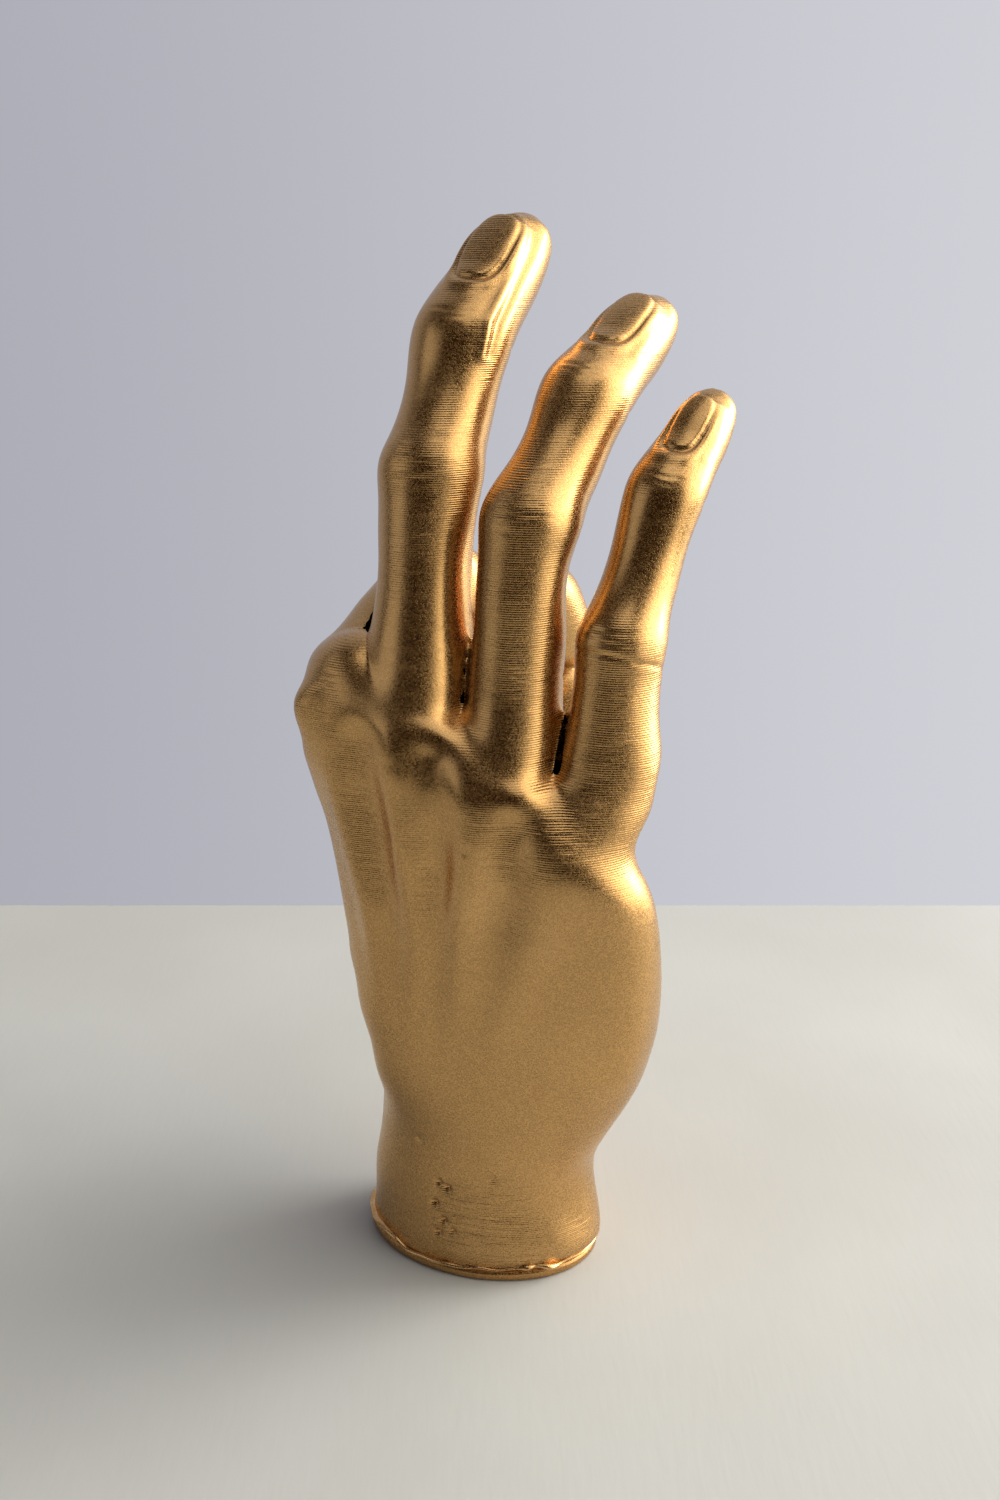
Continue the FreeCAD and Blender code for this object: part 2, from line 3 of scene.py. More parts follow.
import bmesh
import bpy
import numpy as np
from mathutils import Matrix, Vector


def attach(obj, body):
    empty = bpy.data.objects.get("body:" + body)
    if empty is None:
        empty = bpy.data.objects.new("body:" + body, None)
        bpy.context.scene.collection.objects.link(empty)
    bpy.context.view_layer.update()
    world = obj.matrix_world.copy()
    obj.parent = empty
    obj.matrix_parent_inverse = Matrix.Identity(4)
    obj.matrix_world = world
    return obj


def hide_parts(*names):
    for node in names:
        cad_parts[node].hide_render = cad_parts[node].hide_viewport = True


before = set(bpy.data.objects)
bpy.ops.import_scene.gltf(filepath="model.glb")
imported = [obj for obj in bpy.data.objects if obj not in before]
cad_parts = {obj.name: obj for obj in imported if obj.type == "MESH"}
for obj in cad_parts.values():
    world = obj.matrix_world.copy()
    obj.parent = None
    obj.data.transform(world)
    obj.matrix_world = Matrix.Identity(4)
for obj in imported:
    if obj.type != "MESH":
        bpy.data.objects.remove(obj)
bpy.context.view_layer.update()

# Hand sculpture in satin gold paint. The loaded solids are taken as clay: they are joined into
# one skin, smoothed, sculpted and parted again at the finger roots.
# Measures of the sculpting are in millimetres, objects in metres. x points to the little finger,
# y to the palm side and z up.
MM = 0.001
VOXEL = 0.42
PACE = 1
PALM_FACES_KEPT = 0.46
FRONT = (0, 1, 0)
BACK = (0, -1, 0)

DIGITS = {
    "index_finger": dict(
        joints=((-26.2, -7.5, 121.0), (-24.8, 31.1, 137.4), (-14.2, 55.6, 133.0), (-9.6, 68.9, 116.1)),
        half=(9.4, 9.5, 9.6, 8.7), root=(-25.25, 7.48, 126.68), way=(-0.036, 0.876, 0.480)),
    "middle_finger": dict(
        joints=((-9.9, -7.5, 120.0), (-14.1, 6.5, 165.7), (-14.1, 19.6, 191.6), (-9.9, 39.1, 214.7)),
        half=(10.2, 9.8, 9.7, 8.8), root=(-11.0, -2.95, 133.63), way=(-0.097, 0.271, 0.958)),
    "ring_finger": dict(
        joints=((9.2, -7.5, 109.5), (8.3, 4.5, 157.5), (11.9, 22.1, 180.9), (17.9, 43.9, 198.6)),
        half=(9.9, 9.6, 9.2, 8.2), root=(9.22, -3.09, 123.75), way=(-0.035, 0.195, 0.980)),
    "little_finger": dict(
        joints=((26.8, -5.5, 101.0), (27.7, 3.9, 136.3), (31.2, 16.3, 164.0), (36.0, 30.4, 182.1)),
        half=(9.0, 8.4, 7.8, 6.8), root=(27.16, -2.47, 111.56), way=(0.018, 0.245, 0.969)),
    "thumb": dict(
        joints=((-15.6, 10.5, 42.0), (-28.7, 34.0, 69.3), (-22.1, 54.1, 92.8), (-5.7, 69.4, 110.6)),
        half=(12.0, 11.0, 10.6, 9.8), root=(-25.92, 27.15, 61.38), way=(-0.412, 0.594, 0.691)),
}
CONTACT_LEVEL = 114.28
THUMB_BACK = np.array((0.0, 0.75, -0.66))
EDGE_WAY = (0.889, 0.457, 0.0)

# How far a root's cut reaches from its middle, and how far from its bones a digit's flesh goes,
# counted in half widths. The index knuckle is raised, so both are larger there.
CUT_REACH = {"index_finger": 24, "middle_finger": 16, "ring_finger": 16, "little_finger": 16, "thumb": 19}
FLESH_REACH = {"index_finger": 2.3}
FLESH_REACH_ELSEWHERE = 1.75


# Clay: arrays of points and faces

def arrays_of(mesh):
    """Points in millimetres and the polygons of a mesh of triangles or quads."""
    points = np.empty(len(mesh.vertices) * 3)
    mesh.vertices.foreach_get("co", points)
    return points.reshape(-1, 3) / MM


def joined_clay():
    """One mesh object of the hand's solids, with close neighbours eased apart."""
    data = bmesh.new()
    for name in ("palm_shell", "foot_plate", "ballast_plug") + tuple(DIGITS):
        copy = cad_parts[name].data.copy()
        points = arrays_of(copy)
        level = np.exp(-((points[:, 2] - 150) / 16) ** 2)
        if name == "middle_finger":
            points[:, 0] -= 0.5 * level * (points[:, 0] > -8)
        if name == "ring_finger":
            points[:, 0] += 0.5 * level * (points[:, 0] < 8)
            low = np.exp(-((points[:, 2] - 130) / 10) ** 2)
            points[:, 0] -= 0.3 * low * (points[:, 0] > 12)
        if name == "little_finger":
            low = np.exp(-((points[:, 2] - 130) / 12) ** 2)
            points[:, 0] += 0.3 * low * (points[:, 0] < 24)
        copy.vertices.foreach_set("co", (points * MM).ravel())
        data.from_mesh(copy)
        bpy.data.meshes.remove(copy)
    mesh = bpy.data.meshes.new("clay")
    data.to_mesh(mesh)
    data.free()
    clay = bpy.data.objects.new("clay", mesh)
    bpy.context.collection.objects.link(clay)
    return clay


def skin_of(clay):
    """Even skin of quads round the clay."""
    remesh = clay.modifiers.new("skin", "REMESH")
    remesh.mode = "VOXEL"
    remesh.voxel_size = VOXEL * MM
    graph = bpy.context.evaluated_depsgraph_get()
    mesh = bpy.data.meshes.new_from_object(clay.evaluated_get(graph))
    points = arrays_of(mesh)
    quads = np.empty(len(mesh.polygons) * 4, dtype=np.int64)
    mesh.polygons.foreach_get("vertices", quads)
    bpy.data.objects.remove(clay)
    bpy.data.meshes.remove(mesh)
    return points, quads.reshape(-1, 4)


class Skin:
    """Points and quads with the sculpting strokes that move them."""

    def __init__(self, points, quads):
        self.points = points
        self.quads = quads
        ends = np.concatenate([quads[:, (0, 1)], quads[:, (1, 2)], quads[:, (2, 3)], quads[:, (3, 0)]])
        self.ends = np.unique(np.sort(ends, axis=1), axis=0)
        self.refresh()

    def refresh(self):
        """Fresh normals after a change of shape."""
        p, q = self.points, self.quads
        cross = np.cross(p[q[:, 2]] - p[q[:, 0]], p[q[:, 3]] - p[q[:, 1]])
        normals = np.stack([
            np.bincount(q.ravel(), weights=np.repeat(cross[:, axis], 4), minlength=len(p))
            for axis in range(3)], axis=1)
        length = np.linalg.norm(normals, axis=1)
        length[length == 0] = 1
        self.normals = normals / length[:, None]

    def smooth(self, rounds, mask=None):
        """Even out the skin, everywhere or where the mask is set."""
        a, b = self.ends[:, 0], self.ends[:, 1]
        if mask is None:
            mask = np.ones(len(self.points))
        keep = (mask[a] > 0.001) | (mask[b] > 0.001)
        used, places = np.unique(np.concatenate([a[keep], b[keep]]), return_inverse=True)
        a, b = np.split(places, 2)
        count = np.bincount(places, minlength=len(used)).astype(float)
        weight = 0.5 * mask[used]
        columns = [self.points[used, axis] for axis in range(3)]
        for _ in range(rounds):
            for column in columns:
                total = (np.bincount(a, weights=column[b], minlength=len(used))
                         + np.bincount(b, weights=column[a], minlength=len(used)))
                column += (total / count - column) * weight
        self.points[used] = np.stack(columns, axis=1)
        self.refresh()

    def ease(self, rounds, *spots):
        """Even out the skin round some spots, each a centre and a radius."""
        mask = np.zeros(len(self.points))
        for centre, radius in spots:
            mask = np.maximum(mask, self.near(centre, radius))
        self.smooth(int(rounds * PACE), mask)

    def ease_back(self, rounds, top):
        """Even out the back of the hand up to a level."""
        mask = np.clip(-self.normals[:, 1] * 2 - 0.6, 0, 1) * (self.points[:, 2] < top)
        self.smooth(int(rounds * PACE), mask)

    def near(self, centre, radius):
        """Soft mask round a point."""
        away = np.linalg.norm(self.points - np.array(centre), axis=1)
        return np.clip(1.6 - 1.6 * away / radius, 0, 1)

    def snap(self, point):
        """Nearest point of the skin."""
        away = np.abs(self.points - point).sum(axis=1)
        close = np.argsort(away)[:60] if len(away) < 60 else np.argpartition(away, 60)[:60]
        best = close[np.argmin(np.linalg.norm(self.points[close] - point, axis=1))]
        return self.points[best].copy()

    def stroke(self, path, radius, height, facing=None):
        """Raise or press the skin along a path. Radius and height may be given per point."""
        path = [np.array(p, dtype=float) for p in path]
        if len(path) == 1:
            path = path * 2
        radii, heights = (np.interp(np.linspace(0, 1, len(path)), np.linspace(0, 1, np.size(value)),
                                    np.atleast_1d(value)) for value in (radius, height))
        low = np.min(path, axis=0) - radii.max() * 2.4
        high = np.max(path, axis=0) + radii.max() * 2.4
        inside = np.where(((self.points > low) & (self.points < high)).all(axis=1))[0]
        if not len(inside):
            return
        p = self.points[inside]
        best = np.zeros(len(inside))
        for start, end, r0, r1, h0, h1 in zip(path, path[1:], radii, radii[1:], heights, heights[1:]):
            line = end - start
            along = np.clip((p - start) @ line / max(line @ line, 1e-9), 0, 1)
            away = np.linalg.norm(p - start - along[:, None] * line, axis=1)
            wide = r0 + (r1 - r0) * along
            tall = h0 + (h1 - h0) * along
            value = tall * np.exp(-(away / wide) ** 2)
            best = np.where(np.abs(value) > np.abs(best), value, best)
        if facing is not None:
            best *= np.clip(self.normals[inside] @ np.array(facing) * 2.0, 0, 1)
        self.points[inside] += self.normals[inside] * best[:, None]


def unit(vector):
    vector = np.array(vector, dtype=float)
    return vector / np.linalg.norm(vector)


def digit_frame(name, along):
    """Centre, direction, side and back of a digit at a place counted in bones from its knuckle."""
    joints = [np.array(j) for j in DIGITS[name]["joints"]]
    bone = min(int(along), 2)
    share = along - bone
    centre = joints[bone] + (joints[bone + 1] - joints[bone]) * share
    way = unit(joints[bone + 1] - joints[bone])
    if share < 0.3 and bone > 0:
        before = unit(joints[bone] - joints[bone - 1])
        way = unit(way * (0.5 + share / 0.6) + before * (0.5 - share / 0.6))
    if share > 0.7 and bone < 2:
        after = unit(joints[bone + 2] - joints[bone + 1])
        way = unit(way * (0.5 + (1 - share) / 0.6) + after * (0.5 - (1 - share) / 0.6))
    if name == "thumb":
        side = unit(np.cross(way, THUMB_BACK))
    else:
        side = np.array((1.0, 0, 0))
        side = unit(side - way * (side @ way))
    back = np.cross(side, way)
    half = np.interp(along, (0, 1, 2, 3), DIGITS[name]["half"])
    return centre, way, side, back, half


def on_digit(skin, name, along, angle):
    """Point of the skin on a digit. Angle 0 is its back and 90 the little finger's side."""
    centre, way, side, back, half = digit_frame(name, along)
    turn = math.radians(angle)
    return skin.snap(centre + (back * math.cos(turn) + side * math.sin(turn)) * half * 0.9)


def crease(skin, name, along, spread, radius, height, drift=0.0, middle=0.0):
    """Stroke across a digit, from one side of its middle angle to the other."""
    path = []
    for step in range(9):
        share = step / 4 - 1
        path.append(on_digit(skin, name, along + drift * share * share, middle + spread * share))
    ends = [height * (1 - 0.75 * abs(step / 4 - 1) ** 2) for step in range(9)]
    skin.stroke(path, radius, ends)


def on_side(skin, x, z, front):
    """Point of the skin on the palm side or the back of the hand at a place across and up."""
    close = (np.abs(skin.points[:, 0] - x) < 1.2) & (np.abs(skin.points[:, 2] - z) < 1.2)
    rows = skin.points[close]
    if not len(rows):
        return np.array((x, 0.0, z))
    wall = rows[rows[:, 1] < 24] if front else rows
    wall = wall if len(wall) else rows
    return wall[np.argmax(wall[:, 1])] if front else rows[np.argmin(rows[:, 1])]


def on_edge(skin, left, z):
    """Outermost point of the hand at a level, seen a little from the little finger's side."""
    rows = skin.points[np.abs(skin.points[:, 2] - z) < 1.0]
    across = rows @ np.array(EDGE_WAY)
    return rows[np.argmin(across)] if left else rows[np.argmax(across)]


def trail(skin, places, front=False):
    """Path on the palm side or back of the hand through places across and up."""
    path = []
    for (x0, z0), (x1, z1) in zip(places, places[1:]):
        for step in range(4):
            path.append(on_side(skin, x0 + (x1 - x0) * step / 4, z0 + (z1 - z0) * step / 4, front))
    path.append(on_side(skin, *places[-1], front))
    return path


def sculpt_nail(skin, name, along, half_length, half_width, lift):
    """Nail plate with a groove and fold round it and a free edge that stands off the pulp."""
    centre, way, side, back, half = digit_frame(name, along)
    local = skin.points - centre
    s, t, n = local @ way, local @ side, local @ back
    inside = np.where((np.abs(s) < half_length * 2.2) & (np.abs(t) < half_width * 2.4) & (n > -half * 0.2)
                      & (n < half * 2))[0]
    s, t, n = s[inside], t[inside], n[inside]
    arc = np.arctan2(t, np.maximum(n, 0.1)) * half
    base = (np.abs(arc / half_width) ** 3.2 + np.abs(s / half_length) ** np.where(s > 0, 4.5, 2.6))
    rim = base ** (1 / 3.0)
    away = (rim - 1) * half_width
    plate = 1 / (1 + np.exp(away / 0.16))
    height = lift * plate
    fold = np.exp(-((away - 1.5) / 0.95) ** 2) * np.clip(0.9 - s / half_length, 0, 1.2)
    groove = np.exp(-((away - 0.25) / 0.32) ** 2) * np.clip(1.1 - s / half_length, 0, 1)
    height += 0.42 * fold - 0.32 * groove
    beyond = np.clip((s - half_length * 0.9) / 0.8, 0, 1) * (away > 0.1) * np.exp(-(away / 3.2) ** 2)
    height -= 0.75 * beyond
    skin.points[inside] += skin.normals[inside] * height[:, None]


# The hand's forms

WEBS = (
    ((-0.6, -12, 120), 6), ((18.4, -12, 110), 6), ((-18.5, -5, 124), 7), ((-26, 2, 112), 8),
    ((-24, 16, 52), 17), ((-14, 22, 48), 14), ((-30, 16, 60), 13), ((30, -8, 96), 12),
    ((-27, -12, 120), 8), ((-9, -16, 124), 12), ((10, -17, 112), 12), ((27, -14, 101), 11),
    ((-18, 6, 112), 12), ((0, 6, 116), 12), ((17, 6, 108), 12), ((30, 5, 98), 12),
)

# Strokes down the back: places across and up, radii and heights along the stroke
TENDONS = (
    (((-25, 112), (-20, 94), (-13, 66), (-6, 44)), (3.4, 3.2, 3.6, 5.0), (0.8, 1.9, 1.2, 0)),
    (((-9.5, 113), (-7, 94), (-4, 68), (-1, 42)), (3.2, 3.0, 3.6, 5.0), (1.0, 2.5, 1.7, 0)),
    (((9.2, 102), (8, 86), (5, 62), (3, 42)), (3.2, 3.0, 3.6, 5.0), (0.8, 2.1, 1.2, 0)),
    (((26, 92), (21, 78), (14, 60), (8, 44)), (3.4, 3.2, 3.6, 5.0), (0.5, 1.4, 0.8, 0)),
)
VALLEYS = (
    (((-17, 118), (-13.5, 98), (-9, 74)), (4.2, 4.4, 5.0), (-2.2, -2.0, 0)),
    (((-0.5, 117), (0.5, 96), (0.5, 74)), (4.2, 4.4, 5.0), (-2.4, -2.1, 0)),
    (((18, 106), (15, 88), (10, 70)), (4.2, 4.4, 5.0), (-2.2, -1.6, 0)),
)
VALLEYS_AGAIN = (
    (((-0.5, 116), (0.5, 98), (0.5, 74)), (4.4, 4.6, 5.0), (-0.5, -0.8, 0)),
    (((-17, 117), (-14, 98), (-10, 76)), (4.4, 4.6, 5.0), (-0.4, -0.7, 0)),
    (((17.5, 105), (14.5, 88), (10, 70)), (4.4, 4.6, 5.0), (-0.6, -0.7, 0)),
)
TENDONS_AGAIN = (
    (((-8.5, 110), (-6.5, 92), (-4, 66)), (3.0, 3.0, 4.0), (0.5, 1.1, 0)),
    (((8.5, 100), (7, 84), (5, 62)), (3.0, 3.0, 4.0), (0.5, 0.8, 0)),
    (((-24, 108), (-19, 90), (-13, 64)), (3.0, 3.0, 4.0), (0.4, 0.8, 0)),
)
INDEX_KNUCKLE = ((-26, -4, 130), (-25, 6, 138), (-24, 22, 146))

# Base of the little finger, edge of the hand and ball of the thumb: path, radius, heights, facing
EDGE_MOUNDS = (
    (((36, -2, 125), (37, -2, 115), (37.5, -2, 106)), 6, (0.8, 2.4, 2.2), (1, -0.2, 0)),
    (((38, 0, 94), (39, 2, 86)), 8, (1.0, 0.8), (1, 0, 0)),
    (((-35, 10, 58), (-31, 9, 46)), 9, (-1.6, -2.6), (-1, -0.4, 0)),
)
# Levels on the index finger's side (True) or the other one, radius and heights
EDGE_LEVELS = (
    (True, (68, 58, 49, 41), 8, (-1.0, -3.0, -4.4, -3.6)),
    (True, (117, 111, 105), 6, (1.0, 1.6, 1.0)),
    (False, (100,), 5, -2.2),
    (False, (87, 75, 60, 50), 9, (1.3, 1.3, 1.2, 0.6)),
    (False, (127, 120), 5, (1.0, 1.4)),
)

# Nails: place along the digit, half length, half width and lift
NAILS = {
    "index_finger": (2.56, 6.6, 6.0, 0.6), "middle_finger": (2.56, 8.3, 6.4, 0.62),
    "ring_finger": (2.56, 7.8, 6.0, 0.62), "little_finger": (2.55, 6.4, 4.9, 0.55),
    "thumb": (2.55, 7.6, 7.2, 0.65),
}
PALM_LINES = (
    (((-27, 106), (-14, 98), (-3, 78), (-2, 52), (-4, 36)), 0.5),
    (((-27, 107), (-10, 99), (8, 88), (24, 66)), 0.36),
    (((33, 88), (20, 94), (6, 103), (-6, 112)), 0.4),
)
# Pits on the back: place across and up, and depth
PITS = (
    ((-3, 18), 0.8), ((1, 14), 0.9), ((-1.5, 11), 0.8), ((3, 12), 0.7), ((2, 22), 0.8), ((0, 23), 0.6),
    ((-2, 61), 0.22), ((8, 99), 0.22), ((-7, 30), 0.3), ((12, 24), 0.3),
)


def sculpt_palm_side(skin):
    """Mounds and hollow of the palm and the wrist's tendons."""
    skin.stroke(trail(skin, ((-11, 38), (-17, 58)), True), 13, (4.2, 4.2))
    skin.stroke(trail(skin, ((22, 40), (25, 72)), True), 11, (2.6, 2.0))
    skin.refresh()
    skin.stroke(trail(skin, ((5, 60), (7, 84)), True), 12, (-2.2, -2.0), FRONT)
    for x, z in ((-20, 112), (-4, 112), (12, 104), (26, 94)):
        skin.stroke(trail(skin, ((x, z), (x, z + 1)), True), 6.5, 1.3, FRONT)
    for x in (-3, 4):
        skin.stroke(trail(skin, ((x, 8), (x, 22), (x + 1, 36)), True), 2.6, (0, 0.7, 0), FRONT)


def sculpt_back(skin):
    """Tendons, the valleys between them and the knuckles."""
    for places, radii, heights in TENDONS + VALLEYS:
        skin.stroke(trail(skin, places), radii, heights, BACK)
    skin.refresh()
    skin.ease_back(46, 120)
    for x, z, height in ((-25, 119, 0.8), (-9.5, 118, 1.0), (9.5, 108, 0.8), (27, 98, 0.7)):
        skin.stroke([on_side(skin, x, z, False)], 8.5, height)
    for _ in range(2):
        skin.stroke(INDEX_KNUCKLE, 10, (2.6, 3.5, 1.9), (-0.1, -0.1, 0.9))
        skin.refresh()
        skin.ease(100, ((-27, -3, 141), 14), ((-20, -1, 138), 9))
    skin.stroke([on_side(skin, 18.3, 111, False)], 3.2, 1.4, BACK)
    skin.refresh()
    skin.stroke([skin.snap(np.array((-33.0, -5.0, 127.0)))], 6.5, 2.2, (-0.5, -0.1, 0.8))
    skin.stroke([skin.snap(np.array((-38.0, -9.0, 119.0)))], 5.5, -2.4)
    skin.refresh()
    skin.ease(110, ((-34, -9, 120), 19))
    skin.ease(160, ((-37, -9, 119), 11))
    skin.ease(140, ((-25, 9, 143), 14), ((-19, 3, 135), 9))
    skin.ease(150, ((-17, -19, 105), 15), ((0, -20, 103), 10))
    skin.ease(150, ((-15, -19, 92), 14))
    for places, radii, heights in VALLEYS_AGAIN + TENDONS_AGAIN:
        skin.stroke(trail(skin, places), radii, heights, BACK)
    skin.refresh()
    skin.ease_back(40, 116)


def sculpt_edges(skin):
    """Outline of the hand, seen from its back."""
    for places, radius, height, facing in EDGE_MOUNDS:
        path = [skin.snap(np.array(place, dtype=float)) for place in places]
        skin.stroke(path, radius, height, facing)
    skin.refresh()
    skin.ease(90, ((36, -6, 96), 16))
    skin.ease(170, ((-32, 9, 50), 19), ((-18, 20, 46), 17))
    skin.ease(120, ((-9, 11, 111), 15), ((9, 9, 107), 14))
    for index_side, levels, radius, height in EDGE_LEVELS:
        path = [on_edge(skin, index_side, level) for level in levels]
        skin.stroke(path, radius, height, (-0.89, -0.45, 0) if index_side else (0.89, 0.45, 0))
    skin.refresh()
    skin.ease(70, ((-30, 4, 50), 16), ((37, 2, 98), 9))
    skin.smooth(int(12 * PACE))
    skin.ease(30, ((-0.5, -12, 122), 9), ((18.4, -12, 112), 9))


def sculpt_joints(skin):
    """Heads of the finger bones, flats between them and the pads."""
    for name in DIGITS:
        for joint, rise in ((1, 0.85), (2, 0.5)):
            for angle in (-38, 0, 38):
                skin.stroke([on_digit(skin, name, joint, angle)], 4.6, rise * (1 if angle else 0.7))
            for angle in (-90, 90):
                skin.stroke([on_digit(skin, name, joint + 0.02, angle)], 5.2, rise * 0.8)
        for along in (0.62, 1.5):
            skin.stroke([on_digit(skin, name, along, -80)], 8, -0.45)
            skin.stroke([on_digit(skin, name, along, 80)], 8, -0.45)
        for along, rise in ((0.62, 1.1), (1.48, 0.9), (2.5, 0.9)):
            skin.stroke([on_digit(skin, name, along, 180)], 6.2, rise)
        skin.stroke([on_digit(skin, name, 2.5, 180), on_digit(skin, name, 2.72, 180)], 5.5, 0.5)
    skin.refresh()
    skin.smooth(int(10 * PACE))


def sculpt_fingertips(skin):
    """Parting edges beside the fingertips and the nails."""
    ridge = [on_digit(skin, "middle_finger", along, 58) for along in (1.78, 2.0, 2.2, 2.42, 2.7)]
    skin.stroke(ridge, 1.0, (0.5, 0.75, 0.7, 0.5, 0.1))
    groove = [on_digit(skin, "middle_finger", along, 68) for along in (1.82, 2.05, 2.25, 2.45, 2.7)]
    skin.stroke(groove, 0.9, (-0.3, -0.5, -0.45, -0.35, -0.1))
    for name, angle in (("ring_finger", 62), ("little_finger", 60)):
        path = [on_digit(skin, name, along, angle) for along in (2.3, 2.5, 2.75)]
        skin.stroke(path, 0.9, (0.15, 0.4, 0.3))
    for name, (along, half_length, half_width, lift) in NAILS.items():
        centre, way, side, out, half = digit_frame(name, along)
        skin.ease(30, (centre + out * half * 0.8, half * 1.15))
    for name, (along, half_length, half_width, lift) in NAILS.items():
        sculpt_nail(skin, name, along, half_length, half_width, lift)
    skin.refresh()


def sculpt_creases(skin):
    """Creases on both sides of the joints, lines of the palm and pits of the casting."""
    for name in DIGITS:
        for along, spread, depth in ((0.93, 40, 0.1), (0.985, 50, 0.2), (1.04, 42, 0.13)):
            crease(skin, name, along, spread, 0.5, -depth, 0.03)
        for along, spread, depth in ((1.97, 38, 0.09), (2.02, 42, 0.14)):
            crease(skin, name, along, spread, 0.45, -depth, 0.02)
        for along, depth in ((0.97, 0.6), (1.03, 0.5), (2.0, 0.6)):
            crease(skin, name, along, 75, 0.75, -depth, 0.0, 180)
        crease(skin, name, 0.42 if name != "thumb" else 0.86, 70, 0.8, -0.5, 0.02, 180)
    crease(skin, "little_finger", 0.93, 105, 0.38, -0.42, 0.0, 20)
    for places, depth in PALM_LINES:
        skin.stroke(trail(skin, places, True), 1.1, (-depth * 0.3, -depth, -depth, -depth * 0.2))
    for z in (23.5, 27.0):
        skin.stroke(trail(skin, ((-13, z - 1), (0, z + 0.6), (14, z - 0.4)), True), 0.9, (0, -0.3, 0))
    skin.refresh()
    skin.smooth(1)
    for (x, z), depth in PITS:
        skin.stroke([on_side(skin, x, z, False)], 0.75, -depth * 1.3)
    skin.refresh()


skin = Skin(*skin_of(joined_clay()))
skin.smooth(8)
skin.ease(90, *WEBS)
sculpt_palm_side(skin)
sculpt_back(skin)
sculpt_edges(skin)
sculpt_joints(skin)
sculpt_fingertips(skin)
sculpt_creases(skin)


# Parting into the named pieces

def owner_of(points):
    """Digit nearest to each point, or the palm behind the root planes."""
    names = list(DIGITS)
    away = np.full((len(names), len(points)), 1e9)
    for row, name in enumerate(names):
        joints = [np.array(j) for j in DIGITS[name]["joints"]]
        for bone in range(3):
            line = joints[bone + 1] - joints[bone]
            along = np.clip((points - joints[bone]) @ line / (line @ line), 0, 1)
            gap = np.linalg.norm(points - joints[bone] - along[:, None] * line, axis=1)
            half = np.interp(along + bone, (0, 1, 2, 3), DIGITS[name]["half"])
            away[row] = np.minimum(away[row], gap / half)
    owner = np.argmin(away, axis=0)
    near = np.min(away, axis=0)
    beyond = np.zeros(len(points), dtype=bool)
    for row, name in enumerate(names):
        ahead = (points - np.array(DIGITS[name]["root"])) @ np.array(DIGITS[name]["way"])
        beyond |= (owner == row) & (ahead > 0) & (near < FLESH_REACH.get(name, FLESH_REACH_ELSEWHERE))
    tips = beyond & ((owner == names.index("index_finger")) | (owner == names.index("thumb")))
    tips &= points[:, 1] > 50
    owner[tips & (points[:, 2] > CONTACT_LEVEL)] = names.index("index_finger")
    owner[tips & (points[:, 2] <= CONTACT_LEVEL)] = names.index("thumb")
    owner[~beyond] = len(names)
    return owner


def parted(skin):
    """Meshes of the palm and each digit, cut clean at the root planes and capped."""
    whole = bmesh.new()
    mesh = bpy.data.meshes.new("skin")
    mesh.from_pydata((skin.points * MM).tolist(), [], skin.quads.tolist())
    whole.from_mesh(mesh)
    bpy.data.meshes.remove(mesh)
    whole.normal_update()
    planes = [(digit["root"], digit["way"], CUT_REACH[name]) for name, digit in DIGITS.items()]
    planes.append(((-10, 66, CONTACT_LEVEL), (0, 0, 1), 12))
    for point, way, reach in planes:
        point = np.array(point)
        near = [f for f in whole.faces if np.abs(np.array(f.calc_center_median()) / MM - point).max() < reach]
        near = [f for f in near if abs((np.array(f.calc_center_median()) / MM - point) @ np.array(way)) < 1.5]
        parts = set(near)
        for face in near:
            parts.update(face.edges)
            parts.update(face.verts)
        bmesh.ops.bisect_plane(whole, geom=list(parts), plane_co=(point * MM).tolist(), plane_no=way,
                               dist=1e-7)
    lean = whole.verts.layers.float_vector.new("lean")
    whole.normal_update()
    for vert in whole.verts:
        vert[lean] = vert.normal
    whole.faces.index_update()
    centres = np.array([f.calc_center_median() for f in whole.faces]) / MM
    owner = owner_of(centres)
    names = list(DIGITS) + ["palm_shell"]
    for row, name in enumerate(names):
        piece = whole.copy()
        piece.faces.ensure_lookup_table()
        drop = [piece.faces[i] for i in np.where(owner != row)[0]]
        bmesh.ops.delete(piece, geom=drop, context="FACES")
        if name == "palm_shell":
            geom = piece.verts[:] + piece.edges[:] + piece.faces[:]
            bmesh.ops.bisect_plane(piece, geom=geom, plane_co=(0, 0, 3.0 * MM), plane_no=(0, 0, 1),
                                   clear_inner=True, dist=1e-7)
        rims = [e for e in piece.edges if e.is_boundary]
        bmesh.ops.holes_fill(piece, edges=rims, sides=0)
        mesh = bpy.data.meshes.new(name)
        piece.to_mesh(mesh)
        piece.free()
        if name == "palm_shell":
            mesh = thinned(mesh, PALM_FACES_KEPT)
        mesh.polygons.foreach_set("use_smooth", [True] * len(mesh.polygons))
        leans = np.empty(len(mesh.vertices) * 3)
        mesh.attributes["lean"].data.foreach_get("vector", leans)
        mesh.attributes.remove(mesh.attributes["lean"])
        mesh.normals_split_custom_set_from_vertices(leans.reshape(-1, 3).tolist())
        yield name, mesh
    whole.free()


def thinned(mesh, share):
    """Same surface with fewer faces."""
    holder = bpy.data.objects.new("thinned", mesh)
    bpy.context.collection.objects.link(holder)
    holder.modifiers.new("thin", "DECIMATE").ratio = share
    graph = bpy.context.evaluated_depsgraph_get()
    result = bpy.data.meshes.new_from_object(holder.evaluated_get(graph))
    bpy.data.objects.remove(holder)
    bpy.data.meshes.remove(mesh)
    return result


